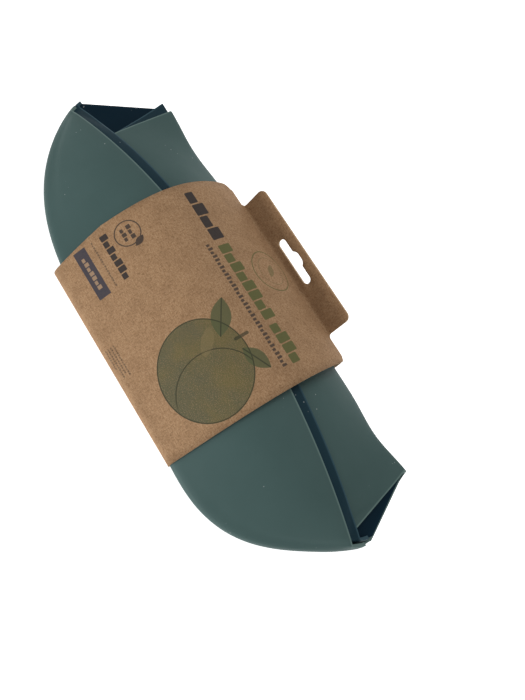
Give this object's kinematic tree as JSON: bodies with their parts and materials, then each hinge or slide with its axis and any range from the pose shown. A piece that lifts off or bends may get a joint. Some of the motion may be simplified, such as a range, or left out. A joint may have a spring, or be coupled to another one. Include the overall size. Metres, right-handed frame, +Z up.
{
  "type": "silicone bib twin pack",
  "caption": "Two nested silicone baby bibs with food pockets, folded chest under pocket and held by a kraft card sleeve with a hang tab",
  "frame": {"origin": "under the middle of the pack's box, on the surface that the sleeve's flat back rests on", "axes": "X along the folded pack through the sleeve, Y from the pockets' round bottom edge towards the hang tab, Z up away from the sleeve's back"},
  "size_m": [0.2434, 0.0964, 0.0315],
  "materials": {
    "outer_silicone": "matt soft-touch silicone, grey green",
    "inner_silicone": "matt soft-touch silicone, dark blue",
    "kraft_board": "uncoated brown kraft board with fine fibres",
    "printed_kraft": "uncoated brown kraft board with flat ink",
    "paper_glue": "dry clear paper glue"
  },
  "bodies": {
    "sleeve": {"sleeve_back_panel": "kraft_board", "sleeve_spine": "kraft_board", "sleeve_front_panel": "printed_kraft", "sleeve_side_panel": "kraft_board", "hang_tab_crease": "kraft_board"},
    "bib_bundle": {"outer_bib_back_panel": "outer_silicone", "outer_bib_food_pocket": "outer_silicone", "outer_bib_chest_fold": "outer_silicone", "outer_bib_neck_strap_left": "outer_silicone", "outer_bib_neck_strap_right": "outer_silicone", "outer_bib_closure_stud": "outer_silicone", "inner_bib_back_panel": "inner_silicone", "inner_bib_food_pocket": "inner_silicone", "inner_bib_chest_fold": "inner_silicone", "inner_bib_neck_strap_left": "inner_silicone", "inner_bib_neck_strap_right": "inner_silicone", "inner_bib_closure_stud": "inner_silicone"},
    "hang_tab": {"hang_tab_front_ply": "kraft_board", "hang_tab_back_ply": "kraft_board", "hang_tab_glue": "paper_glue"}
  },
  "joints": [
    {"name": "bundle_slide", "type": "slide", "parent": "sleeve", "child": "bib_bundle", "axis": [1, 0, 0], "range_m": [-0.18, 0.18]},
    {"name": "hang_tab_bend", "type": "hinge", "parent": "sleeve", "child": "hang_tab", "pos_m": [0.00193, 0.03994, 0.01545], "axis": [1, 0, 0], "range_deg": [-60, 75], "stiffness_Nm_per_rad": 0.01}
  ]
}
